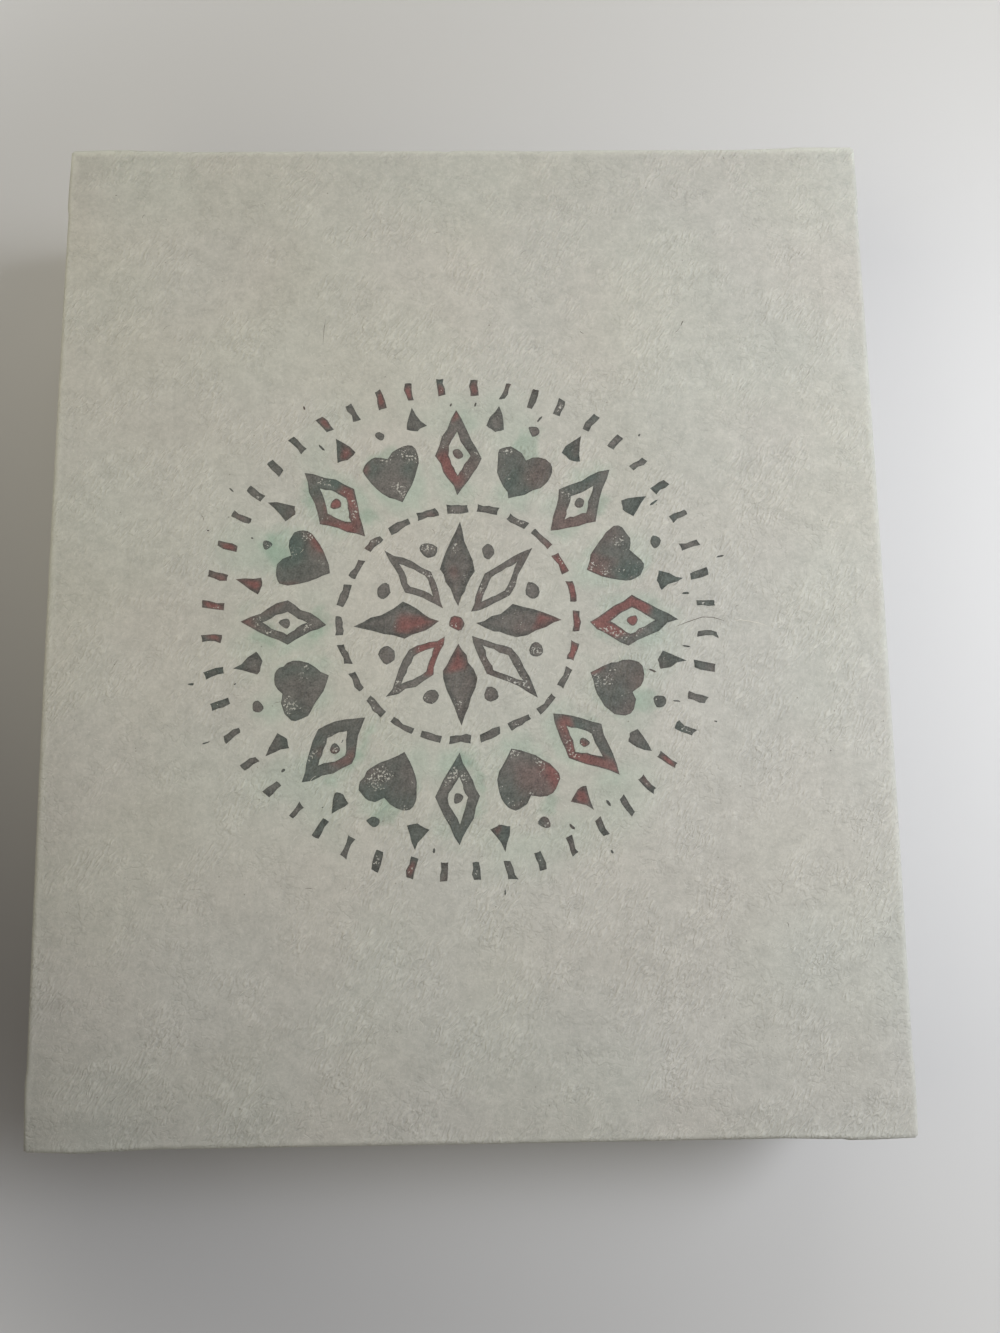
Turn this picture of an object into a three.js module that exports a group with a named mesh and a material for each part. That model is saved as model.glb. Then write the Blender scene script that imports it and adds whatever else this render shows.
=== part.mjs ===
// A rigid gift box with a lift-off lid: greyboard panels, paper corner stays and a kraft paper cover.
// Millimetres, +Z up, +Y towards the back. The origin is the middle of the underside.
import * as THREE from "three";

// Overall sizes
const lidWidth = 181; // across X, over the ridges that the corner stays raise
const lidLength = 218; // along Y, over the same ridges
const lidDepth = 22; // the lid's top face to its rim
const boxHeight = 40; // underside to the lid's top face

// Stock
const boardThickness = 1.8;
const paperThickness = 0.3;
const stayThickness = 0.2; // gummed paper tape
const glueLine = 0.05; // left between every two glued pieces

// Fits
const lidClearance = 0.6; // air all round between the lid's inside and the tray
const seatGap = 0.1; // between the tray's rim and the lid's lining
const liningClearance = 0.25; // air round a lining sheet

// Folds and laps
const boardEasing = 0.65; // radius of a panel's outer edge, under the cover's fold
const edgeSteps = 4;
const rimRadius = 0.5; // outside of the cover where it folds over a wall's edge
const rimSteps = 2;
const stayLeg = 14; // reach of a corner stay along each wall
const stayRamp = 1.5; // length in which the cover drops off a stay
const underTurn = 14; // how far the tray's cover is turned under its panel
const sheetInset = 4; // the bottom sheet's edge, in from the tray's walls
const sheetRamp = 1.5; // length in which the bottom sheet rises to the board

// Worked out from the sizes above
const skin = paperThickness + glueLine;
const ridge = stayThickness + glueLine;
const rimThickness = boardThickness + 2 * skin;
const easing = Math.min(boardEasing, boardThickness / 2);
const rimFold = Math.min(rimRadius, 2 * paperThickness, rimThickness / 2);
const lidRoof = 2 * skin + boardThickness;

// The lid and the tray are built alike, as an open tray with its panel down. Each is described by
// the flat half sizes of its cover, its depth, and the height of its cover's lower side.
const lidSize = {
  halfX: lidWidth / 2 - ridge,
  halfY: lidLength / 2 - ridge,
  depth: lidDepth,
  floor: 0,
};
const traySize = {
  halfX: lidSize.halfX - rimThickness - lidClearance - ridge,
  halfY: lidSize.halfY - rimThickness - lidClearance - ridge,
  depth: boxHeight - lidRoof - seatGap,
  floor: skin,
};

const kraft = { color: 0xb6b3a7, roughness: 0.92, metalness: 0 };
const liningPaper = { color: 0xbfbbaf, roughness: 0.92, metalness: 0 };
const greyboard = { color: 0x8d8a83, roughness: 0.95, metalness: 0 };
const gummedTape = { color: 0xa98c66, roughness: 0.85, metalness: 0 };

function piece(name, geometry, look) {
  const mesh = new THREE.Mesh(geometry, new THREE.MeshStandardMaterial(look));
  mesh.name = name;
  return mesh;
}

// A rectangle seen from above, its corners raised by `raise` over the reach of the stays.
// Every outline has the same number of points, so any two can be joined.
function outline(halfX, halfY, z, raise) {
  const flatEnd = stayLeg + stayRamp;
  const points = [];
  for (const [signX, signY] of [[1, 1], [-1, 1], [-1, -1], [1, -1]]) {
    const corner = [
      [halfX, halfY - flatEnd],
      [halfX + raise, halfY - stayLeg],
      [halfX + raise, halfY + raise],
      [halfX - stayLeg, halfY + raise],
      [halfX - flatEnd, halfY],
    ].map(([x, y]) => new THREE.Vector3(signX * x, signY * y, z));
    points.push(...(signX === signY ? corner : corner.reverse()));
  }
  return points;
}

// One closed solid through outlines taken in order. Its ends are capped, or joined to each other.
function loft(outlines, isLoop = false) {
  const count = outlines[0].length;
  const points = outlines.flat();
  const index = [];
  const bands = isLoop ? outlines.length : outlines.length - 1;
  for (let k = 0; k < bands; k++) {
    const low = k * count;
    const high = ((k + 1) % outlines.length) * count;
    for (let i = 0; i < count; i++) {
      const next = (i + 1) % count;
      index.push(low + i, low + next, high + next, low + i, high + next, high + i);
    }
  }
  if (!isLoop) {
    const lastStart = points.length - count;
    const [first, last] = [outlines[0], outlines[outlines.length - 1]];
    const firstMiddle = points.push(new THREE.Vector3(0, 0, first[0].z)) - 1;
    const lastMiddle = points.push(new THREE.Vector3(0, 0, last[0].z)) - 1;
    for (let i = 0; i < count; i++) {
      const next = (i + 1) % count;
      index.push(firstMiddle, next, i);
      index.push(lastMiddle, lastStart + i, lastStart + next);
    }
  }
  return new THREE.BufferGeometry().setFromPoints(points).setIndex(index);
}

// A quarter circle in even steps, as pairs of sine and cosine, from 0 to 90 degrees.
function quarterTurn(steps) {
  return Array.from({ length: steps + 1 }, (_, i) => {
    const angle = (i / steps) * (Math.PI / 2);
    return [Math.sin(angle), Math.cos(angle)];
  });
}

// The turn round the panel's lower edge, from flat to upright, `below` the cover's outer face.
// Every layer there turns about the same line.
function panelFold(size, below, raise) {
  const turnLine = easing + skin;
  const radius = turnLine - below;
  return quarterTurn(edgeSteps).map(([sine, cosine]) => {
    const inset = turnLine - radius * sine;
    const z = size.floor + turnLine - radius * cosine;
    return outline(size.halfX - inset, size.halfY - inset, z, raise);
  });
}

// The paper cover from the panel's edge up the walls, over the rim and down inside to the panel:
// first its outer side, then back along the side that is glued to the board.
function coverOutlines(size) {
  const ring = (inset, z, raise) => outline(size.halfX - inset, size.halfY - inset, z, raise);
  const turnInEnd = size.floor + skin + boardThickness + glueLine;
  const innerFace = rimThickness - paperThickness;
  const outerRim = quarterTurn(rimSteps).map(([sine, cosine]) =>
    ring(rimFold * (1 - cosine), size.depth - rimFold * (1 - sine), ridge));
  const innerRim = quarterTurn(rimSteps).reverse().map(([sine, cosine]) =>
    ring(rimThickness - rimFold * (1 - cosine), size.depth - rimFold * (1 - sine), 0));
  const outerFold = panelFold(size, 0, ridge);
  const gluedFold = panelFold(size, paperThickness, ridge);
  return [
    ...outerFold,
    ...outerRim,
    ...innerRim,
    ring(rimThickness, turnInEnd, 0),
    ring(innerFace, turnInEnd, 0),
    ring(innerFace, size.depth - paperThickness, 0),
    ring(paperThickness, size.depth - paperThickness, ridge),
    ...gluedFold.reverse(),
  ];
}

// One sheet that also covers the panel.
function closedCover(name, size) {
  return piece(name, loft(coverOutlines(size)), kraft);
}

// A band round the walls, turned under the panel and left open in the middle.
function bandCover(name, size) {
  const ring = (z) => outline(size.halfX - underTurn, size.halfY - underTurn, z, 0);
  const outlines = [ring(size.floor), ...coverOutlines(size), ring(size.floor + paperThickness)];
  return piece(name, loft(outlines, true), kraft);
}

// The paper glued over the band's turned edges; its middle rises to the board.
function bottomSheet(name, size) {
  const ring = (inset, z) => outline(size.halfX - inset, size.halfY - inset, z, 0);
  const rampStart = underTurn + glueLine;
  const rampEnd = rampStart + sheetRamp;
  const outlines = [
    ring(rampEnd, size.floor),
    ring(rampStart, size.floor - skin),
    ring(sheetInset, size.floor - skin),
    ring(sheetInset, size.floor - glueLine),
    ring(rampStart, size.floor - glueLine),
    ring(rampEnd, size.floor + paperThickness),
  ];
  return piece(name, loft(outlines), kraft);
}

// The large board, its outer edge eased where the cover folds round it.
function panelBoard(name, size) {
  const top = size.floor + skin + boardThickness;
  const innerEdge = outline(size.halfX - skin, size.halfY - skin, top, 0);
  return piece(name, loft([...panelFold(size, skin, 0), innerEdge]), greyboard);
}

// Four walls standing on the panel; the side walls fit between the front and the back.
function wallBoards(prefix, size, frontSign) {
  const low = size.floor + skin + boardThickness + glueLine;
  const height = size.depth - skin - low;
  const [outerX, outerY] = [size.halfX - skin, size.halfY - skin];
  const sideLength = 2 * (outerY - boardThickness - glueLine);
  const endGeometry = () => new THREE.BoxGeometry(2 * outerX, boardThickness, height);
  const sideGeometry = () => new THREE.BoxGeometry(boardThickness, sideLength, height);
  const endY = frontSign * (outerY - boardThickness / 2);
  const sideX = outerX - boardThickness / 2;
  const walls = [
    [piece(`${prefix}_front_board`, endGeometry(), greyboard), 0, endY],
    [piece(`${prefix}_back_board`, endGeometry(), greyboard), 0, -endY],
    [piece(`${prefix}_left_board`, sideGeometry(), greyboard), -sideX, 0],
    [piece(`${prefix}_right_board`, sideGeometry(), greyboard), sideX, 0],
  ];
  for (const [wall, x, y] of walls) wall.position.set(x, y, low + height / 2);
  return walls.map(([wall]) => wall);
}

// Gummed tape folded round each outside corner of the walls.
function cornerStays(prefix, size, frontSign) {
  const [boardX, boardY] = [size.halfX - skin, size.halfY - skin];
  const low = size.floor + skin + easing;
  const near = glueLine;
  const far = glueLine + stayThickness;
  const stays = [];
  for (const [end, signY] of [["front", frontSign], ["back", -frontSign]]) {
    for (const [side, signX] of [["left", -1], ["right", 1]]) {
      const tape = new THREE.Shape(
        [
          [boardX + near, boardY - stayLeg],
          [boardX + far, boardY - stayLeg],
          [boardX + far, boardY + far],
          [boardX - stayLeg, boardY + far],
          [boardX - stayLeg, boardY + near],
          [boardX + near, boardY + near],
        ].map(([x, y]) => new THREE.Vector2(signX * x, signY * y)),
      );
      const depth = size.depth - skin - low;
      const geometry = new THREE.ExtrudeGeometry(tape, { depth, bevelEnabled: false });
      const stay = piece(`${prefix}_corner_stay_${end}_${side}`, geometry, gummedTape);
      stay.position.z = low;
      stays.push(stay);
    }
  }
  return stays;
}

// The flat sheet on the panel's inner face.
function liningSheet(name, size) {
  const back = rimThickness + liningClearance;
  const geometry = new THREE.BoxGeometry(
    2 * (size.halfX - back),
    2 * (size.halfY - back),
    paperThickness,
  );
  const lining = piece(name, geometry, liningPaper);
  lining.position.z = size.floor + 2 * skin + boardThickness - paperThickness / 2;
  return lining;
}

function makeTray() {
  const front = -1;
  const tray = new THREE.Group();
  tray.add(
    bottomSheet("tray_bottom_sheet", traySize),
    bandCover("tray_cover_paper", traySize),
    panelBoard("tray_bottom_board", traySize),
    ...wallBoards("tray", traySize, front),
    ...cornerStays("tray", traySize, front),
    liningSheet("tray_lining", traySize),
  );
  return tray;
}

// The lid is turned over about X, so its front is at +Y until it is turned.
function makeLid() {
  const front = 1;
  const lid = new THREE.Group();
  lid.add(
    closedCover("lid_cover_paper", lidSize),
    panelBoard("lid_top_board", lidSize),
    ...wallBoards("lid", lidSize, front),
    ...cornerStays("lid", lidSize, front),
    liningSheet("lid_lining", lidSize),
  );
  lid.rotation.x = Math.PI;
  lid.position.z = boxHeight;
  return lid;
}

const box = new THREE.Group();
box.add(makeTray(), makeLid());

export default box;
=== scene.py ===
"""Looks of a paper-covered gift box: its covers, linings, block print and stray fibres."""

import math
import random

import bmesh
import bpy
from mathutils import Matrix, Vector, noise


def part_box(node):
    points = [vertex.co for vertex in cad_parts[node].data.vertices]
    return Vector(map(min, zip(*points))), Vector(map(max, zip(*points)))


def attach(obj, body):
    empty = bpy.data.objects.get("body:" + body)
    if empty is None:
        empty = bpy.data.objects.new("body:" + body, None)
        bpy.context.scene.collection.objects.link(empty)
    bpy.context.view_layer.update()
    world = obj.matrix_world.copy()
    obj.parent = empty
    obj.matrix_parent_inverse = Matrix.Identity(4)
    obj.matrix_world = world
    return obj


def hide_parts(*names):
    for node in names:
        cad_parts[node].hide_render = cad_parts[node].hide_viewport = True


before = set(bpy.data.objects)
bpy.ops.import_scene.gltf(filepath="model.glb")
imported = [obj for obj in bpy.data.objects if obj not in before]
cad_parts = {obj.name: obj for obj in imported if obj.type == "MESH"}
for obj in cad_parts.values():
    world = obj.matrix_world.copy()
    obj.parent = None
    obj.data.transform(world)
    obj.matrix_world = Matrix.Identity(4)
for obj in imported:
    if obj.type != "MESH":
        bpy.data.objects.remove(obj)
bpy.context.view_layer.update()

MM = 0.001
MM_PER_METRE = 1000
TINY = 0.002 * MM  # two points closer than this count as one place

# Stock, as the pieces inside are made
PAPER = 0.3 * MM
GLUE = 0.05 * MM
SKIN = PAPER + GLUE
STAY_RIDGE = 0.25 * MM
STAY_LEG = 14 * MM
STAY_RAMP = 1.5 * MM
UNDER_TURN = 14 * MM

# Folds and laps of the cover papers
FOLD_RADIUS = 1.3 * MM
PLAN_CORNER_SHARE = 0.31  # the other folds, as shares of the fold radius
RIM_SHARE = 0.38
INNER_CORNER_SHARE = 0.19
FOLD_SEGMENTS = 5
WALL_ROWS = 4  # rows of faces from fold to fold
INSIDE_ROWS = 2
COLUMN_PITCH = 9 * MM
EAR_REACH = 27 * MM  # how far the side flap's ear runs on under the end flap
EAR_RAMP = 1.5 * MM
FLAP_MARGIN = 0.9 * MM  # the end flap's cut edge, in from the corner at mid height
FLAP_LEAN = 0.05  # the lean of that cut, as run over rise
CUT_WIDTH = 0.07 * MM
TURN_IN_MARGIN = 7 * MM
TURN_IN_RISE = 0.18 * MM
TURN_IN_LEAN = 0.1

# How far the walls belly out: left and right, then front and back
LID_BELLIES = ((0.65 * MM, 0.45 * MM), (0.1 * MM, 0.05 * MM))
TRAY_BELLIES = ((0.2 * MM, 0.2 * MM), (0.1 * MM, 0.1 * MM))

# Marks of use on the lid's back fold
NICK_X = -4.2 * MM
NICK_REACH = 1.8 * MM
NICK_DEPTH = 0.19 * MM
NICK_CUT_SHARES = (-1, -0.3, 0.3, 1)  # cuts across the fold, as shares of the reach
WAVE_X = 17.7 * MM
WAVE_REACH = 9 * MM
WAVE_DEPTH = 0.13 * MM
WAVE_CUT_SHARES = (-1, -0.4, 0, 0.4, 1)

# Blunted corners: -1 for left or 1 for right, -1 for front or 1 for back, and the depth
CORNER_REACH = 1.7 * MM
LID_KNOCKS = ((-1, -1, 0.2 * MM), (1, -1, 0.1 * MM), (-1, 1, 0.14 * MM), (1, 1, 0.04 * MM))
TRAY_KNOCKS = ((-1, -1, 0.12 * MM), (1, -1, 0.18 * MM), (-1, 1, 0.1 * MM), (1, 1, 0.14 * MM))

# Linings: blisters as x, y, reach and rise
LINING_PITCH = 6 * MM
LID_BLISTERS = (
    (-42 * MM, 55 * MM, 26 * MM, 0.09 * MM),
    (38 * MM, -20 * MM, 34 * MM, 0.07 * MM),
    (-20 * MM, -70 * MM, 20 * MM, 0.08 * MM),
)
TRAY_BLISTERS = (
    (30 * MM, 62 * MM, 24 * MM, 0.1 * MM),
    (-46 * MM, 8 * MM, 30 * MM, 0.08 * MM),
    (22 * MM, -66 * MM, 22 * MM, 0.12 * MM),
)

# Shapes of the print: the width, then the radii from the inside out. A dot has the inner one alone.
MIDDLE_DOT = (3.4 * MM, -1.7 * MM)
STAR_POINT = (7.6 * MM, 4 * MM, 12 * MM, 22.5 * MM)
STAR_DOT = (3.2 * MM, 15.6 * MM)
RING_BAR = (4.6 * MM, 24.4 * MM, 25.9 * MM)
LOZENGE = (10.4 * MM, 28 * MM, 37 * MM, 47.5 * MM)
LOZENGE_DOT = (2.2 * MM, 36.3 * MM)
HEART = (12.6 * MM, 29.6 * MM, 39.8 * MM)
HEART_DOT = (2.4 * MM, 44.8 * MM)
SPIKE = (4.2 * MM, 43.4 * MM, 44.4 * MM, 49.4 * MM)
RAY = (1.5 * MM, 51.2 * MM, 55.2 * MM)
STAR_BORDER = 1.5 * MM
LOZENGE_BORDER = 2.3 * MM
DOT_SIDES = 12
HEART_SIDES = 28
HEART_LOBE_SHARE = 0.36
HEART_LOBE_POWER = 0.75

# Print
PRINT_CENTRE = (-2 * MM, -2 * MM)
INK_FILM = 0.03 * MM
INK_PROUD = 0.02 * MM
INK_BEAD = 0.4 * MM
CUT_WANDER = ((17, 1.2), (4.5, 0.7), (1.5, 0.4))  # size of the patches and reach, in millimetres
CUT_SEED = 5

# Stray marks of the block's ground
CHATTER_COUNT = 34
CHATTER_SIDES = 6
CHATTER_WIDTHS = (0.25, 0.62)  # between these, in millimetres
CHATTER_STRETCH = (1, 3.5)  # length over width
CHATTER_BANDS = ((27, 43), (48, 49), (57, 59))  # between radii in millimetres
CHATTER_SINK_SHARES = (0.2, 0.6)  # of how far the ink stands proud
CHATTER_SEED = 3

# Fibres in the lid's face, as a radius and a route in millimetres
DARK_FIBRES = (
    (0.085, ((44.8, -3.4), (47.4, -2.4), (50.5, -1.4), (52.9, -1.5), (55.2, -2.3))),
    (0.06, ((-31.5, 67.3), (-31.8, 64.8), (-32, 61.3))),
    (0.14, ((48.9, 66.4), (48.7, 66.1), (48.3, 65.2))),
    (0.05, ((48.2, 65.0), (47.6, 64.2), (46.9, 63.5))),
    (0.05, ((-7.2, 87.7), (-6.4, 88.1), (-5.4, 88.2))),
    (0.18, ((76.6, -30.5), (76.7, -30.5), (76.8, -30.5))),
    (0.12, ((-18.2, 53.6), (-18.1, 53.6), (-18, 53.7))),
)
PALE_FIBRES = (
    (0.08, ((57.4, -2.3), (58.7, -2.1), (62.6, -2.8), (64.5, -3.5))),
    (0.1, ((42.1, -70.2), (42.2, -71.6), (42.1, -73))),
)
FIBRE_SUNK_SHARE = 0.3  # of the fibre's radius
FIBRE_TIP_SHARE = 0.5

# More fibres, scattered anywhere in the lid's face, in millimetres
DARK_SCATTER = 18
PALE_SCATTER = 40
SCATTER_HALF = (84, 103)
SCATTER_LENGTHS = (0.7, 1.1, 1.6, 2.4)
SCATTER_STEPS = 4
SCATTER_BEND = 0.5  # the most that one turns at each step, in radians
SCATTER_RADII = (0.03, 0.055)
SCATTER_SEED = 8

# Colours as linear light
PAPER_COLOUR = (0.462, 0.449, 0.390, 1)
PAPER_LIGHT = (0.60, 0.585, 0.52, 1)
PAPER_DARK = (0.16, 0.14, 0.11, 1)
# The lighter colour of the folds: partly rubbed paper, partly painted highlight
PAPER_RUBBED_AND_HIGHLIT = (0.60, 0.595, 0.51, 1)
HUE_WARM = (1.008, 0.997, 0.99, 1)
HUE_COOL = (0.993, 1.002, 1.01, 1)
BLUSH_ROSE = (1.007, 0.993, 1.002, 1)
BLUSH_GREEN = (0.998, 1.002, 0.997, 1)
BLEED_TINT = (0.83, 0.97, 0.92, 1)
BLEED_DEEP = (0.68, 0.82, 0.76, 1)
LINING_COLOUR = (0.50, 0.485, 0.425, 1)
INK_GREY = (0.120, 0.110, 0.097, 1)
INK_GREEN = (0.075, 0.097, 0.082, 1)
INK_RED = (0.170, 0.075, 0.066, 1)
BOARD_LIGHT = (0.30, 0.29, 0.26, 1)
BOARD_DARK = (0.22, 0.21, 0.19, 1)
TAPE_LIGHT = (0.42, 0.29, 0.17, 1)
TAPE_DARK = (0.34, 0.22, 0.12, 1)
FIBRE_LIGHT = (0.62, 0.59, 0.50, 1)
FIBRE_DARK = (0.11, 0.095, 0.075, 1)
FLOOR_COLOUR = (0.60, 0.585, 0.555, 1)
BACKGROUND = (0.72, 0.71, 0.68, 1)
ROOM_COLOUR = (1, 0.95, 0.9, 1)

# Relief, roughness and gloss of each surface
PAPER_RELIEF = 0.1 * MM
BOARD_RELIEF = 0.15 * MM
PAPER_ROUGHNESS = 0.9
BOARD_ROUGHNESS = 0.93
TAPE_ROUGHNESS = 0.75
INK_ROUGHNESS = 0.7
FIBRE_ROUGHNESS = 0.8
FLOOR_ROUGHNESS = 0.9
PAPER_SPECULAR = 0.3
INK_SPECULAR = 0.4

# Marks in the paper. Lengths are in millimetres, and a rise is a share of the relief.
FELT_TURN = math.radians(-55)
FIBRE_TURNS = (0.4, 1.5, 2.5)
STROKE_WANDER_SHARE = 0.8  # of a stroke's length
SPECK_PITCH = 2.6
SPECK_RADIUS_SHARE = 0.1  # of the pitch, for the largest
SPECK_CORE_SHARE = 0.4  # of the radius, where the speck is darkest
PULP_FIBRE_RISE = 0.25
PULP_FIBRE_SHARE = 0.45  # how much of its own colour shows
SPECK_SHARE = 0.6

# Wear of the folds, and a painted highlight on them that is strongest on the back fold. Lengths are in
# millimetres, and a rise is a share of the relief.
WEAR_AND_HIGHLIGHT_REACH = 2.2
WEAR_RISE = 0.5
BACK_HIGHLIGHT_BAND = (6, 2)  # in from the back, where the painted highlight grows
RUBBED_AND_HIGHLIGHT_SHARES = (0.3, 0.85)  # how much of it shows before that band, and past it

# Colour that has crept out of the ring of lozenges and hearts. Lengths are in millimetres.
BLEED_RISE = (22, 36)  # between these radii it sets in
BLEED_FALL = (48, 62)
BLEED_SHAPES = 16  # lozenges and hearts
BLEED_RADIUS = 37
BLEED_HALF_WIDTH = 5.4
BLEED_HALF_LENGTH = 9
WIDE_SHARE = 0.42
TIGHT_SHARE = 0.66
DEEP_SHARE = 0.7

# Cover of the ink
SALT_LIMIT = 0.76  # noise above this leaves the paper bare
DRY_DROP = 0.2  # how much lower that limit is where the block was dry
SALT_SOFTNESS = 0.05
INK_RISE = 0.15  # as a share of the relief
RIM_SHADE = 0.3

# The photograph's frame
PHOTO_SIZE = (1000, 1333)
FOCAL_PIXELS = 1000
SENSOR = 36
CLIP_START = 0.01
CAMERA_PLACE = (3.68 * MM, -40.73 * MM, 212.08 * MM)  # from the middle of the lid's face
CAMERA_TURNS = (7.797, -0.698, -0.734)  # about X, Y and Z in degrees

# Floor and room
FLOOR_SIZE = 6
FLOOR_FADE = (140, 320)  # from the middle, in millimetres
ROOM_STRENGTH = 0.17


def select_none():
    if bpy.context.mode != "OBJECT":
        bpy.ops.object.mode_set(mode="OBJECT")
    bpy.ops.object.select_all(action="DESELECT")


def only(piece):
    select_none()
    piece.select_set(True)
    bpy.context.view_layer.objects.active = piece


def edit(piece):
    only(piece)
    bpy.ops.object.mode_set(mode="EDIT")


def middle_of(element):
    if isinstance(element, bmesh.types.BMVert):
        return element.co
    return sum((corner.co for corner in element.verts), Vector()) / len(element.verts)


def pick(kind, test):
    """Selects what passes a test on its middle: kind is VERT, EDGE or FACE of the mesh in edit mode."""
    bpy.ops.mesh.select_mode(type=kind)
    bpy.ops.mesh.select_all(action="DESELECT")
    mesh = bmesh.from_edit_mesh(bpy.context.edit_object.data)
    elements = {"VERT": mesh.verts, "EDGE": mesh.edges, "FACE": mesh.faces}[kind]
    for element in elements:
        if test(middle_of(element)):
            element.select_set(True)
    bmesh.update_edit_mesh(bpy.context.edit_object.data)


def pick_border(kind):
    """Selects the open border of the mesh in edit mode, as VERT or EDGE."""
    bpy.ops.mesh.select_mode(type=kind)
    bpy.ops.mesh.select_all(action="DESELECT")
    bpy.ops.mesh.select_non_manifold(extend=False, use_wire=False, use_multi_face=False,
                                     use_non_contiguous=False, use_verts=False)


def cut_faces(test, point, normal):
    """Cuts the faces whose middle passes a test."""
    pick("FACE", test)
    bpy.ops.mesh.bisect(plane_co=point, plane_no=normal)


def move(x=0, y=0, z=0):
    bpy.ops.transform.translate(value=(x, y, z))


def apply_modifier(piece, kind, **settings):
    modifier = piece.modifiers.new(kind.lower(), kind)
    for key, value in settings.items():
        setattr(modifier, key, value)
    only(piece)
    bpy.ops.object.modifier_apply(modifier=modifier.name)


def finish_piece(piece, body, material, smooth_angle=35):
    only(piece)
    bpy.ops.object.transform_apply(location=True, rotation=True, scale=True)
    bpy.ops.object.shade_smooth_by_angle(angle=math.radians(smooth_angle))
    piece.data.materials.clear()
    piece.data.materials.append(material)
    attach(piece, body)


def flat_sheet(name, half, z, faces_up, pitch, insets=()):
    """A flat face cut into columns both ways, and once more at each inset from its edges."""
    select_none()
    bpy.ops.mesh.primitive_plane_add(size=2)
    piece = bpy.context.object
    piece.name = name
    edit(piece)
    bpy.ops.mesh.select_all(action="SELECT")
    bpy.ops.transform.resize(value=(half[0], half[1], 1))
    move(z=z)
    if not faces_up:
        bpy.ops.mesh.flip_normals()
    for axis in range(2):
        reach = half[axis]
        normal = (1 - axis, axis, 0)
        count = round(2 * reach / pitch)
        places = [reach * (2 * i / count - 1) for i in range(1, count)]
        for inset in insets:
            places += [inset - reach, reach - inset]
        for place in places:
            bpy.ops.mesh.select_all(action="SELECT")
            bpy.ops.mesh.bisect(plane_co=[place * n for n in normal], plane_no=normal)
    return piece


# Sizes read off the frame


class Half:
    """Sizes of the lid or the tray: its cover's flat faces, its fold, its rim and its inside."""

    def __init__(self, name, panel):
        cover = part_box(f"{name}_cover_paper")
        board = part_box(f"{name}_{panel}_board")
        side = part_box(f"{name}_right_board")
        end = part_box(f"{name}_back_board")
        self.name = name
        self.half = Vector((board[1].x + SKIN, board[1].y + SKIN))
        self.inner = Vector((side[0].x - SKIN, end[0].y - SKIN))
        self.up = 1 if panel == "top" else -1
        self.face_z = cover[1].z if self.up > 0 else cover[0].z
        self.rim_z = cover[0].z if self.up > 0 else cover[1].z
        self.end_z = board[0].z - GLUE if self.up > 0 else board[1].z + GLUE


lid = Half("lid", "top")
tray = Half("tray", "bottom")


# Cover papers


def on_outline(place, half):
    """Whether a place lies on the rectangle of these half sizes, seen from above."""
    inside = abs(place.x) < half.x + TINY and abs(place.y) < half.y + TINY
    return inside and (abs(place.x) > half.x - TINY or abs(place.y) > half.y - TINY)


def at_corner(place, half):
    return abs(abs(place.x) - half.x) < TINY and abs(abs(place.y) - half.y) < TINY


def weigh_fold(test, share):
    pick("EDGE", test)
    bpy.ops.transform.edge_bevelweight(value=share)


def extrude_edge(z=0):
    bpy.ops.mesh.extrude_region_move(TRANSFORM_OT_translate={"value": (0, 0, z)})


def fold_walls(part):
    """Folds the panel's edges down the walls, round the rim and up the inside."""
    pick_border("EDGE")
    for _ in range(WALL_ROWS):
        extrude_edge((part.rim_z - part.face_z) / WALL_ROWS)
    extrude_edge()
    shrink = (part.inner.x / part.half.x, part.inner.y / part.half.y, 1)
    bpy.ops.transform.resize(value=shrink, center_override=(0, 0, part.rim_z))
    for _ in range(INSIDE_ROWS):
        extrude_edge((part.end_z - part.rim_z) / INSIDE_ROWS)


def round_folds(piece, part):
    def level(place, z):
        return abs(place.z - z) < TINY

    def upright(place, half):
        return at_corner(place, half) and not level(place, part.face_z) and not level(place, part.rim_z)

    weigh_fold(lambda p: level(p, part.face_z) and on_outline(p, part.half), 1)
    weigh_fold(lambda p: upright(p, part.half), PLAN_CORNER_SHARE)
    weigh_fold(lambda p: level(p, part.rim_z) and on_outline(p, part.half), RIM_SHARE)
    weigh_fold(lambda p: level(p, part.rim_z) and on_outline(p, part.inner), RIM_SHARE)
    weigh_fold(lambda p: upright(p, part.inner), INNER_CORNER_SHARE)
    bpy.ops.object.mode_set(mode="OBJECT")
    apply_modifier(piece, "BEVEL", width=FOLD_RADIUS, segments=FOLD_SEGMENTS,
                   limit_method="WEIGHT", use_clamp_overlap=False)


def cut_flaps(part):
    """Cuts the end flaps' edges beside each corner, and the ends of the turned-in side flaps."""
    middle_z = (part.face_z + part.rim_z) / 2
    wall_y = part.half.y - FOLD_RADIUS - TINY
    for end in (-1, 1):
        for side in (-1, 1):
            for inset in (FLAP_MARGIN, FLAP_MARGIN + CUT_WIDTH):
                point = (side * (part.half.x - inset), 0, middle_z)
                cut_faces(lambda p: p.y * end > wall_y, point, (side, 0, -FLAP_LEAN * part.up))
            for inset in (EAR_REACH, EAR_REACH + EAR_RAMP):
                point = (side * (part.half.x - inset), 0, 0)
                cut_faces(lambda p: p.y * end > wall_y, point, (1, 0, 0))
    for side in (-1, 1):
        for end in (-1, 1):
            for inset in (TURN_IN_MARGIN, TURN_IN_MARGIN + CUT_WIDTH):
                point = (0, end * (part.inner.y - inset), part.rim_z)
                normal = (0, end, -TURN_IN_LEAN * part.up)
                cut_faces(lambda p: abs(p.x * side - part.inner.x) < TINY, point, normal)


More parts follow.
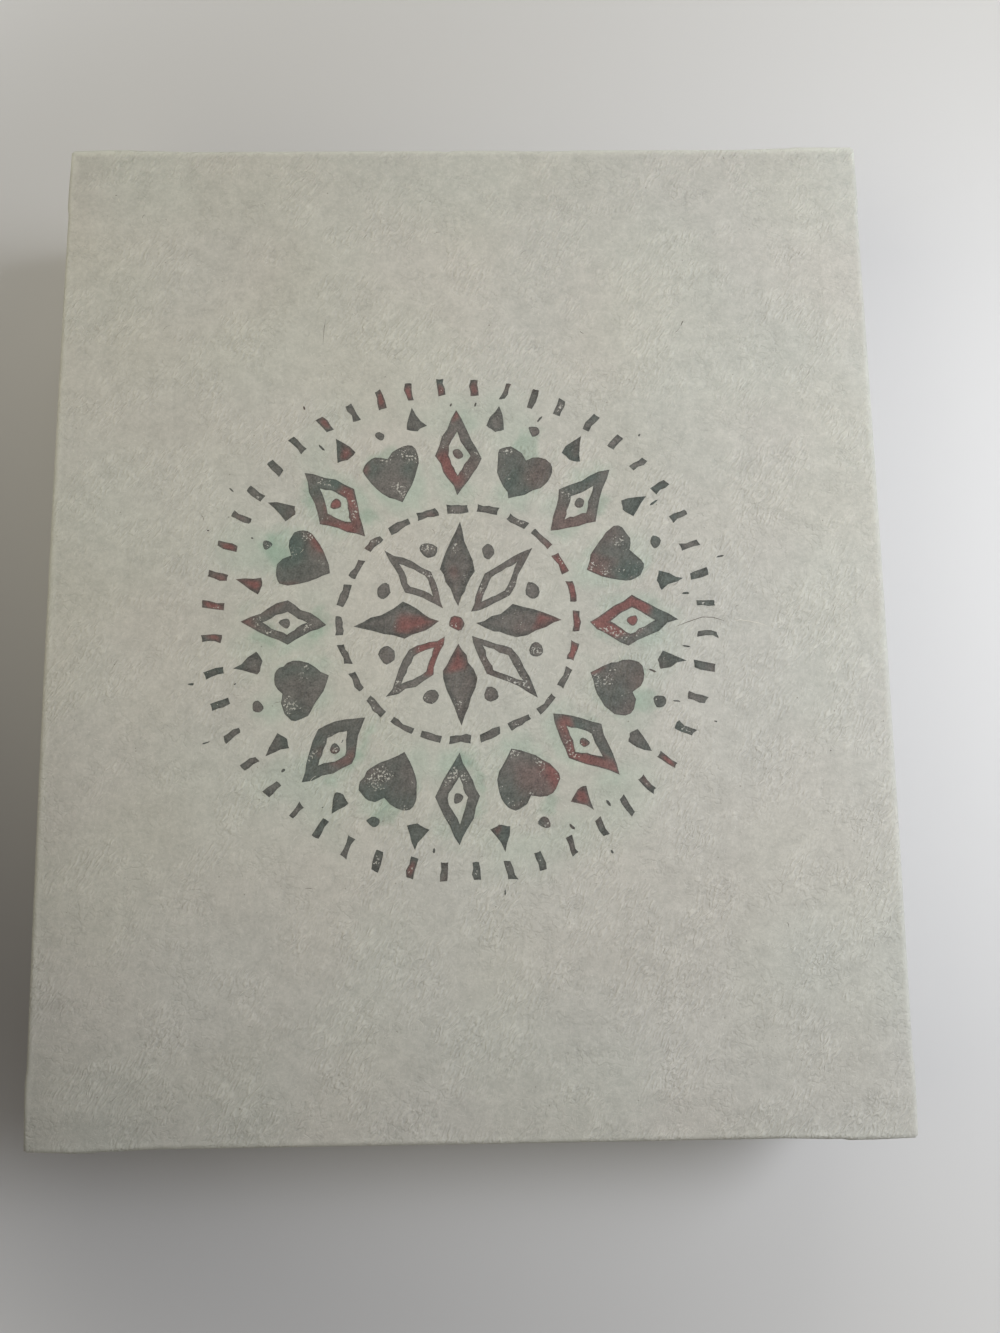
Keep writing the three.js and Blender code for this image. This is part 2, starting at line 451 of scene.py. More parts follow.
def raise_laps(part):
    """Lifts the paper over the corner stays and the ears, and the side flaps' turned-in ends."""
    near = FOLD_RADIUS + TINY
    middle_z = (part.face_z + part.rim_z) / 2

    def on_side(place):
        return abs(place.x) > part.half.x - near and abs(place.y) > part.half.y - STAY_LEG - TINY

    def on_end(place):
        return abs(place.y) > part.half.y - near and abs(place.x) > part.half.x - STAY_LEG - TINY

    def on_ear(place):
        inset = part.half.x - abs(place.x)
        flap_inset = inset + FLAP_LEAN * part.up * (place.z - middle_z)
        under_flap = FLAP_MARGIN + CUT_WIDTH - TINY < flap_inset
        at_wall = abs(place.y) > part.half.y - near - STAY_RIDGE
        return at_wall and under_flap and inset < EAR_REACH + TINY

    def turned_in(place):
        inset = part.inner.y - abs(place.y) + TURN_IN_LEAN * part.up * (place.z - part.rim_z)
        deep = abs(place.z - part.rim_z) > FOLD_RADIUS * RIM_SHARE - TINY
        return deep and abs(abs(place.x) - part.inner.x) < TINY and inset > TURN_IN_MARGIN

    for test, axis, rise in ((on_side, "x", STAY_RIDGE), (on_end, "y", STAY_RIDGE),
                             (on_ear, "y", PAPER), (turned_in, "x", -TURN_IN_RISE)):
        for sign in (-1, 1):
            pick("VERT", lambda p: test(p) and getattr(p, axis) * sign > 0)
            move(**{axis: sign * rise})


def bow_walls(piece, part, bellies):
    """Lets the long flat walls belly out a little between their corners, on the outside only."""
    for vertex in piece.data.vertices:
        place = vertex.co
        for axis, pair in enumerate(bellies):
            other = 1 - axis
            along = math.cos(math.pi / 2 * min(1, abs(place[other]) / part.half[other]))
            depth = (abs(place[axis]) - part.inner[axis]) / (part.half[axis] - part.inner[axis])
            depth = max(0, min(1, depth))
            side = 1 if place[axis] > 0 else -1
            place[axis] += side * pair[0 if side < 0 else 1] * along * depth ** 2


def cover(part, bellies):
    """A cover as one folded sheet without thickness."""
    piece = flat_sheet(f"{part.name}_cover", part.half, part.face_z, part.up > 0, COLUMN_PITCH,
                       insets=(STAY_LEG, STAY_LEG + STAY_RAMP))
    fold_walls(part)
    round_folds(piece, part)
    edit(piece)
    cut_flaps(part)
    raise_laps(part)
    if part.up < 0:
        pick("FACE", lambda p: abs(p.z - part.face_z) < TINY and abs(p.x) < part.half.x - UNDER_TURN
             and abs(p.y) < part.half.y - UNDER_TURN)
        bpy.ops.mesh.delete(type="FACE")
    bpy.ops.object.mode_set(mode="OBJECT")
    bow_walls(piece, part, bellies)
    return piece


def nick_fold(piece, part):
    """A small nick and a shallow wave in the back fold."""
    def on_fold(place):
        at_back = place.y > part.half.y - FOLD_RADIUS - TINY
        return at_back and abs(place.z - part.face_z) < FOLD_RADIUS + TINY

    edit(piece)
    cuts = [NICK_X + share * NICK_REACH for share in NICK_CUT_SHARES]
    cuts += [WAVE_X + share * WAVE_REACH for share in WAVE_CUT_SHARES]
    for x in cuts:
        cut_faces(on_fold, (x, 0, 0), (1, 0, 0))
    for x, reach, depth in ((NICK_X, NICK_REACH, NICK_DEPTH), (WAVE_X, WAVE_REACH, WAVE_DEPTH)):
        pick("VERT", lambda p: on_fold(p) and abs(p.x - x) < reach / 2)
        move(y=-depth, z=-part.up * depth / 2)
    bpy.ops.object.mode_set(mode="OBJECT")


def blunt_corners(piece, part, knocks):
    """Pushes each corner of the fold in a little, as knocks do."""
    edit(piece)
    for side, end, depth in knocks:
        corner = Vector((side * (part.half.x + STAY_RIDGE), end * (part.half.y + STAY_RIDGE), part.face_z))
        pick("VERT", lambda p: (p - corner).length < CORNER_REACH)
        move(x=-side * depth, y=-end * depth, z=-part.up * depth)
    bpy.ops.object.mode_set(mode="OBJECT")


def thicken(piece, part):
    """Gives the cover its thickness, and brings back what comes through at the rim's inner corners."""
    apply_modifier(piece, "SOLIDIFY", thickness=PAPER, offset=-1)
    for vertex in piece.data.vertices:
        if (vertex.co.z - part.rim_z) * part.up < -TINY:
            vertex.co.z = part.rim_z + part.up * PAPER


def lid_cover(material):
    piece = cover(lid, LID_BELLIES)
    nick_fold(piece, lid)
    blunt_corners(piece, lid, LID_KNOCKS)
    thicken(piece, lid)
    finish_piece(piece, "lid", material)
    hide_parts("lid_cover_paper")


def tray_cover(material):
    piece = cover(tray, TRAY_BELLIES)
    blunt_corners(piece, tray, TRAY_KNOCKS)
    thicken(piece, tray)
    finish_piece(piece, "tray", material)
    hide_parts("tray_cover_paper")


# Linings


def lining(part, material, blisters):
    """The flat sheet inside, with a few soft blisters where the glue has let go."""
    low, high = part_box(f"{part.name}_lining")
    showing_z = low.z if part.up > 0 else high.z
    piece = flat_sheet(f"{part.name}_lining_sheet", high, showing_z, part.up < 0, LINING_PITCH)
    bpy.ops.object.mode_set(mode="OBJECT")
    for x, y, reach, rise in blisters:
        for vertex in piece.data.vertices:
            away = math.hypot(vertex.co.x - x, vertex.co.y - y) / reach
            if away < 1:
                vertex.co.z -= part.up * rise * math.cos(math.pi / 2 * away) ** 2
    apply_modifier(piece, "SOLIDIFY", thickness=high.z - low.z, offset=-1)
    finish_piece(piece, part.name, material)
    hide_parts(f"{part.name}_lining")


# Block print


def new_motif(sides, width, inner, outer):
    """One flat shape of the print, pointing up +Y from the inner to the outer radius."""
    select_none()
    bpy.ops.mesh.primitive_circle_add(vertices=sides, radius=1, fill_type="NGON")
    motif = bpy.context.object
    edit(motif)
    bpy.ops.mesh.select_all(action="SELECT")
    bpy.ops.transform.resize(value=(width / 2, (outer - inner) / 2, 1), center_override=(0, 0, 0))
    move(y=(inner + outer) / 2)
    return motif


def leave_bead():
    """Draws a second outline just inside the first, so that the bead of ink stays narrow."""
    bpy.ops.mesh.select_all(action="SELECT")
    bpy.ops.mesh.inset(thickness=INK_BEAD, use_even_offset=False)


def dot(width, inner):
    motif = new_motif(DOT_SIDES, width, inner, inner + width)
    leave_bead()
    return motif


def kite(width, inner, widest, outer):
    motif = new_motif(4, width, inner, outer)
    pick("VERT", lambda p: abs(p.x) > width / 4)
    move(y=widest - (inner + outer) / 2)
    return motif


def bar(width, inner, outer):
    select_none()
    bpy.ops.mesh.primitive_plane_add(size=1)
    motif = bpy.context.object
    edit(motif)
    bpy.ops.mesh.select_all(action="SELECT")
    bpy.ops.transform.resize(value=(width, outer - inner, 1))
    move(y=(inner + outer) / 2)
    return motif


def heart(width, inner, outer):
    """A heart with its tip towards the middle: a round whose sides are pushed outwards."""
    motif = new_motif(HEART_SIDES, width, inner, outer)
    mesh = bmesh.from_edit_mesh(motif.data)
    for vertex in mesh.verts:
        side_share = abs(vertex.co.x) / (width / 2)
        vertex.co.y += HEART_LOBE_SHARE * (outer - inner) * side_share ** HEART_LOBE_POWER
    bmesh.update_edit_mesh(motif.data)
    leave_bead()
    return motif


def open_up(border):
    """Cuts the middle out of the shape in edit mode."""
    pick("FACE", lambda p: True)
    bpy.ops.mesh.inset(thickness=border)
    bpy.ops.mesh.delete(type="FACE")


def ring_of(count, turn_share, cuts):
    """Copies the shape in edit mode round the middle. The turn is a share of the step between two copies."""
    step = 2 * math.pi / count
    bpy.ops.mesh.select_all(action="SELECT")
    if cuts:
        bpy.ops.mesh.subdivide(number_cuts=cuts)
    bpy.ops.transform.rotate(value=turn_share * step, orient_axis="Z", center_override=(0, 0, 0))
    bpy.ops.mesh.spin(steps=count - 1, angle=step * (count - 1), dupli=True,
                      center=(0, 0, 0), axis=(0, 0, 1))


def print_motifs():
    """The shapes of the print: a star, a broken ring, lozenges and hearts by turns, and a border of rays."""
    motifs = []

    def keep(motif, count, turn_share=0, cuts=0, border=0):
        if border:
            open_up(border)
        ring_of(count, turn_share, cuts)
        motifs.append(motif)

    half = 0.5
    keep(dot(*MIDDLE_DOT), count=1)
    keep(kite(*STAR_POINT), count=4, cuts=4)
    keep(kite(*STAR_POINT), count=4, turn_share=half, cuts=4, border=STAR_BORDER)
    keep(dot(*STAR_DOT), count=8, turn_share=half)
    keep(bar(*RING_BAR), count=24, cuts=3)
    keep(kite(*LOZENGE), count=8, cuts=4, border=LOZENGE_BORDER)
    keep(dot(*LOZENGE_DOT), count=8)
    keep(heart(*HEART), count=8, turn_share=half)
    keep(dot(*HEART_DOT), count=8, turn_share=half)
    keep(kite(*SPIKE), count=16, turn_share=half, cuts=2)
    keep(bar(*RAY), count=48, turn_share=half, cuts=2)
    draw = random.Random(CHATTER_SEED)
    for _ in range(CHATTER_COUNT):
        width = draw.uniform(*CHATTER_WIDTHS) * MM
        inner = draw.uniform(*draw.choice(CHATTER_BANDS)) * MM
        outer = inner + width * draw.uniform(*CHATTER_STRETCH)
        keep(new_motif(CHATTER_SIDES, width, inner, outer), count=1, turn_share=draw.random())
        move(z=-INK_PROUD * draw.uniform(*CHATTER_SINK_SHARES))
    return motifs


def hand_cut(piece):
    """Leaves the outlines as a knife does: never quite straight, and no two shapes alike."""
    noise.seed_set(CUT_SEED)
    for vertex in piece.data.vertices:
        place = vertex.co / MM
        for size, reach in CUT_WANDER:
            drift = reach * MM * noise.noise_vector(place / size + Vector((0, 0, size)))
            vertex.co.x += drift.x
            vertex.co.y += drift.y


def mark_rim(piece):
    """Stores which places are on a cut edge, for the bead of ink that collects there."""
    edit(piece)
    pick_border("VERT")
    bpy.ops.object.mode_set(mode="OBJECT")
    rim = piece.data.attributes.new("rim", "FLOAT", "POINT")
    for vertex, value in zip(piece.data.vertices, rim.data):
        value.value = 1 if vertex.select else 0


def block_print(material):
    motifs = print_motifs()
    select_none()
    for motif in motifs:
        motif.select_set(True)
    bpy.context.view_layer.objects.active = motifs[0]
    bpy.ops.object.join()
    piece = bpy.context.object
    piece.name = "block_print"
    hand_cut(piece)
    mark_rim(piece)
    edit(piece)
    bpy.ops.mesh.select_all(action="SELECT")
    move(PRINT_CENTRE[0], PRINT_CENTRE[1], lid.face_z + INK_PROUD)
    bpy.ops.object.mode_set(mode="OBJECT")
    apply_modifier(piece, "SOLIDIFY", thickness=INK_FILM, offset=-1)
    finish_piece(piece, "lid", material)


# Stray fibres in the paper


def scattered(draw, count):
    """Short bent fibres anywhere in the lid's face."""
    fibres = []
    for _ in range(count):
        x, y = [draw.uniform(-reach, reach) for reach in SCATTER_HALF]
        heading = draw.uniform(0, math.pi)
        step = draw.choice(SCATTER_LENGTHS) / SCATTER_STEPS
        bend = draw.uniform(-SCATTER_BEND, SCATTER_BEND)
        route = [(x, y)]
        for _ in range(SCATTER_STEPS):
            x += step * math.cos(heading)
            y += step * math.sin(heading)
            heading += bend
            route.append((x, y))
        fibres.append((draw.uniform(*SCATTER_RADII), route))
    return fibres


def stray_fibres(name, fibres, material):
    """Thin fibres half sunk in the lid's face, thinner towards their ends."""
    curve = bpy.data.curves.new(name, "CURVE")
    curve.dimensions = "3D"
    curve.bevel_depth = MM
    curve.bevel_resolution = 1
    curve.use_fill_caps = True
    for radius, route in fibres:
        spline = curve.splines.new("POLY")
        spline.points.add(len(route) - 1)
        for i, (point, (x, y)) in enumerate(zip(spline.points, route)):
            point.co = (x * MM, y * MM, lid.face_z - radius * MM * FIBRE_SUNK_SHARE, 1)
            point.radius = radius * (FIBRE_TIP_SHARE if i in (0, len(route) - 1) else 1)
    piece = bpy.data.objects.new(name, curve)
    bpy.context.collection.objects.link(piece)
    only(piece)
    bpy.ops.object.convert(target="MESH")
    piece = bpy.context.object
    edit(piece)
    bpy.ops.mesh.select_all(action="SELECT")
    bpy.ops.mesh.remove_doubles(threshold=TINY)
    bpy.ops.mesh.normals_make_consistent()
    bpy.ops.object.mode_set(mode="OBJECT")
    finish_piece(piece, "lid", material, smooth_angle=60)


# Shader parts. Places and sizes are in millimetres.


def add_node(tree, kind, inputs=None, **settings):
    node = tree.nodes.new(kind)
    for key, value in settings.items():
        setattr(node, key, value)
    for key, value in (inputs or {}).items():
        if isinstance(value, bpy.types.NodeSocket):
            tree.links.new(value, node.inputs[key])
        else:
            node.inputs[key].default_value = value
    return node


def add_math(tree, operation, *values):
    return add_node(tree, "ShaderNodeMath", dict(enumerate(values)), operation=operation).outputs[0]


def add_product(tree, first, second):
    return add_math(tree, "MULTIPLY", first, second)


def add_vector(tree, operation, *values):
    return add_node(tree, "ShaderNodeVectorMath", dict(enumerate(values)), operation=operation).outputs[0]


def add_length(tree, vector):
    return add_node(tree, "ShaderNodeVectorMath", {0: vector}, operation="LENGTH").outputs[1]


def add_split(tree, vector):
    return add_node(tree, "ShaderNodeSeparateXYZ", {0: vector}).outputs


def add_joined(tree, x, y, z=0.0):
    return add_node(tree, "ShaderNodeCombineXYZ", {0: x, 1: y, 2: z}).outputs[0]


def add_noise(tree, place, size, detail=2.0, roughness=0.5):
    """Noise from 0 to 1 in patches of about this size."""
    inputs = {"Vector": place, "Scale": 1 / size, "Detail": detail, "Roughness": roughness}
    return add_node(tree, "ShaderNodeTexNoise", inputs).outputs[0]


def add_ramp(tree, value, start, end, low=0.0, high=1.0):
    """Eases from low to high while the value goes from start to end."""
    inputs = {"Value": value, "From Min": start, "From Max": end, "To Min": low, "To Max": high}
    return add_node(tree, "ShaderNodeMapRange", inputs, interpolation_type="SMOOTHSTEP").outputs[0]


def add_blend(tree, share, first, second, blend_type="MIX"):
    """Blends two colours."""
    inputs = {0: share, 6: first, 7: second}
    return add_node(tree, "ShaderNodeMix", inputs, data_type="RGBA", blend_type=blend_type).outputs[2]


def add_tint(tree, colour, tint):
    """One colour multiplied by another."""
    return add_blend(tree, 1.0, colour, tint, "MULTIPLY")


def add_tone(tree, colour, tone):
    """A colour made lighter or darker by a tone about 1."""
    grey = add_node(tree, "ShaderNodeCombineColor", {0: tone, 1: tone, 2: tone}).outputs[0]
    return add_tint(tree, colour, grey)


def add_sum(tree, base, parts):
    """The base plus each value times its weight, where a value of one half changes nothing."""
    total = base - sum(weight for _, weight in parts) / 2
    for value, weight in parts:
        total = add_math(tree, "MULTIPLY_ADD", value, weight, total)
    return total


def add_shift(tree, place, x, y, z=0):
    """The place moved along. Where two patterns read the same noise, it keeps them apart."""
    return add_vector(tree, "ADD", place, (x, y, z))


def add_strokes(tree, place, turn, length, width):
    """Noise drawn out into short strokes that wander a little. The turn brings them onto X."""
    inputs = {"Vector": place, "Scale": 1 / (2 * length), "Detail": 1.0}
    wander = add_node(tree, "ShaderNodeTexNoise", inputs).outputs["Color"]
    wander = add_vector(tree, "MULTIPLY_ADD", wander, (STROKE_WANDER_SHARE * length,) * 3, place)
    inputs = {"Vector": wander, "Angle": turn}
    turned = add_node(tree, "ShaderNodeVectorRotate", inputs, rotation_type="Z_AXIS").outputs[0]
    stretched = add_vector(tree, "MULTIPLY", turned, (1 / length, 1 / width, 1 / width))
    return add_noise(tree, stretched, size=1, detail=1)


def add_crinkles(tree, place, size, width):
    """Thin wandering lines: 1 on a line and 0 away from it. The width is a share of the noise's range."""
    level = add_noise(tree, add_shift(tree, place, 5, 5, 25), size, detail=2, roughness=0.6)
    from_line = add_math(tree, "ABSOLUTE", add_math(tree, "SUBTRACT", level, 0.5))
    return add_ramp(tree, from_line, 0, width, low=1, high=0)


def new_group(name, inputs, outputs):
    """An empty node group: its tree, the sockets that it is given and the sockets that it fills."""
    tree = bpy.data.node_groups.new(name, "ShaderNodeTree")
    for title, kind, value in inputs:
        socket = tree.interface.new_socket(title, in_out="INPUT", socket_type=kind)
        if value is not None:
            socket.default_value = value
    for title in outputs:
        tree.interface.new_socket(title, in_out="OUTPUT", socket_type="NodeSocketFloat")
    return tree, tree.nodes.new("NodeGroupInput").outputs, tree.nodes.new("NodeGroupOutput").inputs


def use_group(tree, name, inputs):
    """Places one of the groups below, and gives its outputs."""
    return add_node(tree, "ShaderNodeGroup", inputs, node_tree=GROUPS[name]).outputs


def formation_group():
    """How the pulp has settled, and the sheet's crinkles with painted shade in them: tone about 1, hue from
    warm 0 to cool 1, blush from rose 0 to green 1.
    """
    tree, given, result = new_group(
        "paper_formation",
        [("Place", "NodeSocketVector", None), ("Clouding", "NodeSocketFloat", 1.0),
         ("Felt Marks", "NodeSocketFloat", 1.0)],
        ["Tone", "Hue", "Blush", "Height"],
    )
    place = given["Place"]
    cloud = add_noise(tree, place, size=24, detail=3, roughness=0.55)
    hue = add_noise(tree, add_shift(tree, place, 70, 30), size=36, detail=1)
    blush = add_noise(tree, add_shift(tree, place, 10, 90), size=40, detail=1)
    mottle = add_noise(tree, place, size=3.4, detail=4, roughness=0.68)
    grain = add_noise(tree, place, size=1, detail=4, roughness=0.75)

    brushed = add_ramp(tree, add_noise(tree, place, size=12), 0.42, 0.6, low=0.15, high=1.2)
    strokes = add_strokes(tree, place, FELT_TURN, length=1.8, width=0.5)
    felt = add_product(tree, add_ramp(tree, strokes, 0.4, 0.68), brushed)
    felt = add_product(tree, felt, given["Felt Marks"])
    creased = add_ramp(tree, add_noise(tree, place, size=7), 0.42, 0.66, low=0.1, high=1)
    crinkles_and_crease_shade = add_product(tree, add_crinkles(tree, place, size=2.4, width=0.085), creased)

    clouding = add_product(tree, add_math(tree, "SUBTRACT", cloud, 0.5), given["Clouding"])
    # The crinkle lines make the tone darker as well as sinking the relief: painted shade in the creases.
    tone = add_sum(tree, 1, [(mottle, 0.44), (grain, 0.46), (felt, 0.1), (crinkles_and_crease_shade, -0.06)])
    tone = add_math(tree, "MULTIPLY_ADD", clouding, 0.18, tone)
    height = add_sum(tree, 0.5, [(mottle, 0.75), (grain, 0.75), (felt, 1), (crinkles_and_crease_shade, -0.6)])
    tree.links.new(tone, result["Tone"])
    tree.links.new(add_ramp(tree, hue, 0.3, 0.7), result["Hue"])
    tree.links.new(add_ramp(tree, blush, 0.38, 0.62), result["Blush"])
    tree.links.new(height, result["Height"])
    return tree


def inclusions_group():
    """What else is in the pulp: masks of dark specks, most of them small, and of pale fibres."""
    tree, given, result = new_group(
        "paper_inclusions", [("Place", "NodeSocketVector", None)], ["Specks", "Fibres"])
    place = given["Place"]
    cells = add_node(tree, "ShaderNodeTexVoronoi", {"Vector": place, "Scale": 1 / SPECK_PITCH})
    size = add_node(tree, "ShaderNodeSeparateColor", {0: cells.outputs["Color"]}).outputs[0]
    radius = add_product(tree, add_math(tree, "POWER", size, 3), SPECK_RADIUS_SHARE)
    core = add_product(tree, radius, SPECK_CORE_SHARE)
    specks = add_ramp(tree, cells.outputs["Distance"], core, radius, low=1, high=0)
    tree.links.new(specks, result["Specks"])

    fibres = 0.0
    for turn in FIBRE_TURNS:
        strokes = add_strokes(tree, add_shift(tree, place, 0, 0, 10 * turn), turn, length=1.8, width=0.25)
        fibres = add_math(tree, "MAXIMUM", fibres, add_ramp(tree, strokes, 0.67, 0.77))
    tree.links.new(fibres, result["Fibres"])
    return tree


def wear_and_highlight_group():
    """A mask of the folds, where handling has rubbed the paper and where a highlight is painted: 1 on a fold,
    0 away from it.
    """
    tree, given, result = new_group(
        "fold_wear_and_highlight",
        [("Place", "NodeSocketVector", None), ("Half Sizes", "NodeSocketVector", None),
         ("Face Height", "NodeSocketFloat", 0.0), ("Rim Height", "NodeSocketFloat", 0.0),
         ("Reach", "NodeSocketFloat", WEAR_AND_HIGHLIGHT_REACH)],
        ["Wear"],
    )
    place = given["Place"]
    height = add_split(tree, place)[2]
    sides = add_vector(tree, "SUBTRACT", given["Half Sizes"], add_vector(tree, "ABSOLUTE", place))
    sides = add_split(tree, sides)
    depth = add_math(tree, "SUBTRACT", height, given["Face Height"])
    away = add_joined(tree, sides[0], sides[1], depth)
    nearest = add_math(tree, "ABSOLUTE", add_math(tree, "SUBTRACT", height, given["Rim Height"]))
    for across in ((1, 0, 1), (0, 1, 1), (1, 1, 0)):
        distance = add_length(tree, add_vector(tree, "MULTIPLY", away, across))
        nearest = add_math(tree, "MINIMUM", nearest, distance)
    ragged = add_sum(tree, 0, [(add_noise(tree, place, size=1.1, detail=3, roughness=0.65), 2.2)])
    nearest = add_math(tree, "ADD", nearest, ragged)
    tree.links.new(add_ramp(tree, nearest, 0.2, given["Reach"], low=1, high=0), result["Wear"])
    return tree


def bleed_group():
    """Thin colour that has crept out of the print into the paper. The place is from the print's middle."""
    tree, given, result = new_group(
        "ink_bleed", [("Place", "NodeSocketVector", None)], ["Wide", "Tight", "Deep"])
    place = given["Place"]
    flat = add_vector(tree, "MULTIPLY", place, (1, 1, 0))
    radius = add_length(tree, flat)
    ring = add_product(tree, add_ramp(tree, radius, *BLEED_RISE),
                       add_ramp(tree, radius, *BLEED_FALL, low=1, high=0))
    patchy = add_ramp(tree, add_noise(tree, place, size=21), 0.46, 0.66)
    tree.links.new(add_product(tree, ring, patchy), result["Wide"])

    parts = add_split(tree, flat)
    angle = add_math(tree, "ARCTAN2", parts[0], parts[1])
    folded = add_math(tree, "PINGPONG", angle, math.pi / BLEED_SHAPES)
    across = add_product(tree, add_math(tree, "SINE", folded), radius)
    along = add_product(tree, add_math(tree, "COSINE", folded), radius)
    along = add_math(tree, "SUBTRACT", along, BLEED_RADIUS)
    oval = add_length(tree, add_joined(tree, add_math(tree, "DIVIDE", across, BLEED_HALF_WIDTH),
                                       add_math(tree, "DIVIDE", along, BLEED_HALF_LENGTH)))
    ragged = add_sum(tree, 0, [(add_noise(tree, place, size=2.5, detail=3), 0.7)])
    oval = add_math(tree, "ADD", oval, ragged)
    near = add_ramp(tree, oval, 0.8, 1.5, low=1, high=0)
    some = add_ramp(tree, add_noise(tree, add_shift(tree, place, 0, 0, 40), size=16, detail=1), 0.42, 0.58)
    tree.links.new(add_product(tree, near, some), result["Tight"])
    close = add_ramp(tree, oval, 0.8, 1.2, low=1, high=0)
    few = add_ramp(tree, add_noise(tree, add_shift(tree, place, 0, 0, 70), size=11, detail=1), 0.52, 0.64)
    tree.links.new(add_product(tree, close, few), result["Deep"])
    return tree


def coverage_group():
    """How the block has laid its ink: 1 where it covers, 0 where the paper shows, and a density about 1."""
    tree, given, result = new_group(
        "ink_coverage",
        [("Place", "NodeSocketVector", None), ("Rim", "NodeSocketFloat", 0.0)],
        ["Cover", "Density"],
    )
    place = given["Place"]
    salt = add_noise(tree, place, size=0.5, roughness=0.6)
    dry = add_ramp(tree, add_noise(tree, place, size=5), 0.46, 0.68)
    dry = add_product(tree, dry, add_math(tree, "SUBTRACT", 1, given["Rim"]))
    limit = add_math(tree, "MULTIPLY_ADD", dry, -DRY_DROP, SALT_LIMIT)
    start = add_math(tree, "SUBTRACT", limit, SALT_SOFTNESS)
    end = add_math(tree, "ADD", limit, SALT_SOFTNESS)
    tree.links.new(add_ramp(tree, salt, start, end, low=1, high=0), result["Cover"])
    blotches = add_noise(tree, place, size=1.3)
    broad = add_noise(tree, place, size=7)
    fine = add_noise(tree, place, size=0.4, detail=1)
    tree.links.new(add_sum(tree, 1, [(blotches, 1.1), (broad, 0.5), (fine, 1.2)]), result["Density"])
    return tree


GROUPS = {
    "formation": formation_group(),
    "inclusions": inclusions_group(),
    "wear_and_highlight": wear_and_highlight_group(),
    "bleed": bleed_group(),
    "coverage": coverage_group(),
}


# Materials


def new_material(name):
    """A material, its tree, its shader's inputs and the place in millimetres."""
    material = bpy.data.materials.new(name)
    material.use_nodes = True
    tree = material.node_tree
    shader = tree.nodes["Principled BSDF"].inputs
    coordinates = tree.nodes.new("ShaderNodeTexCoord").outputs["Object"]
    inputs = {0: coordinates, "Scale": MM_PER_METRE}
    place = add_node(tree, "ShaderNodeVectorMath", inputs, operation="SCALE").outputs[0]
    return material, tree, shader, place


def sheet_colour(tree, place, base, clouding, felt):
    """The colour and height of plain kraft paper."""
    formation = use_group(tree, "formation", {"Place": place, "Clouding": clouding, "Felt Marks": felt})
    inclusions = use_group(tree, "inclusions", {"Place": place})
    colour = add_tint(tree, base, add_blend(tree, formation["Hue"], HUE_WARM, HUE_COOL))
    colour = add_tint(tree, colour, add_blend(tree, formation["Blush"], BLUSH_ROSE, BLUSH_GREEN))
    colour = add_tone(tree, colour, formation["Tone"])
    colour = add_blend(tree, add_product(tree, inclusions["Fibres"], PULP_FIBRE_SHARE), colour, PAPER_LIGHT)
    colour = add_blend(tree, add_product(tree, inclusions["Specks"], SPECK_SHARE), colour, PAPER_DARK)
    height = add_math(tree, "MULTIPLY_ADD", inclusions["Fibres"], PULP_FIBRE_RISE, formation["Height"])
    return colour, height


def from_print_middle(tree, place):
    return add_shift(tree, place, -PRINT_CENTRE[0] * MM_PER_METRE, -PRINT_CENTRE[1] * MM_PER_METRE)


def bleed_into(tree, place, colour):
    """Stains the lid's face round the print."""
    bleed = use_group(tree, "bleed", {"Place": from_print_middle(tree, place)})
    face_start = (lid.face_z - FOLD_RADIUS) * MM_PER_METRE
    on_face = add_math(tree, "GREATER_THAN", add_split(tree, place)[2], face_start)
    for stain, strength, tint in (("Wide", WIDE_SHARE, BLEED_TINT), ("Tight", TIGHT_SHARE, BLEED_TINT),
                                  ("Deep", DEEP_SHARE, BLEED_DEEP)):
        share = add_product(tree, add_product(tree, bleed[stain], on_face), strength)
        colour = add_blend(tree, share, colour, add_tint(tree, colour, tint))
    return colour


def set_surface(tree, shader, colour, roughness, height, relief):
    tree.links.new(colour, shader["Base Color"])
    tree.links.new(roughness, shader["Roughness"])
    bump = add_node(tree, "ShaderNodeBump", {"Strength": 1.0, "Distance": relief, "Height": height})
    tree.links.new(bump.outputs[0], shader["Normal"])


def cover_material(name, part, printed=False):
    """Kraft paper, rubbed on its folds, with a painted highlight on the folds that is strongest at the back.
    """
    material, tree, shader, place = new_material(name)
    colour, height = sheet_colour(tree, place, PAPER_COLOUR, clouding=1.0, felt=1.0)
    if printed:
        colour = bleed_into(tree, place, colour)
    wear_and_highlight = use_group(tree, "wear_and_highlight", {
        "Place": place,
        "Half Sizes": (part.half.x * MM_PER_METRE, part.half.y * MM_PER_METRE, 0),
        "Face Height": part.face_z * MM_PER_METRE,
        "Rim Height": part.rim_z * MM_PER_METRE,
        "Reach": WEAR_AND_HIGHLIGHT_REACH,
    })["Wear"]
    # The folds are lighter: partly rubbed paper, partly a painted highlight, which is much stronger on the
    # back fold.
    band = [part.half.y * MM_PER_METRE - inset for inset in BACK_HIGHLIGHT_BAND]
    strength = add_ramp(tree, add_split(tree, place)[1], *band, *RUBBED_AND_HIGHLIGHT_SHARES)
    colour = add_blend(tree, add_product(tree, wear_and_highlight, strength), colour, PAPER_RUBBED_AND_HIGHLIT)
    roughness = add_sum(tree, PAPER_ROUGHNESS, [(height, 0.1)])
    height = add_math(tree, "MULTIPLY_ADD", wear_and_highlight, WEAR_RISE, height)
    set_surface(tree, shader, colour, roughness, height, PAPER_RELIEF)
    shader["Specular IOR Level"].default_value = PAPER_SPECULAR
    return material


def plain_sheet_material(name, base, relief):
    """Paper that nobody handles: a lining, or the sheet under the tray."""
    material, tree, shader, place = new_material(name)
    colour, height = sheet_colour(tree, place, base, clouding=0.7, felt=0.5)
    set_surface(tree, shader, colour, add_sum(tree, PAPER_ROUGHNESS, [(height, 0.08)]), height, relief)
    shader["Specular IOR Level"].default_value = PAPER_SPECULAR
    return material


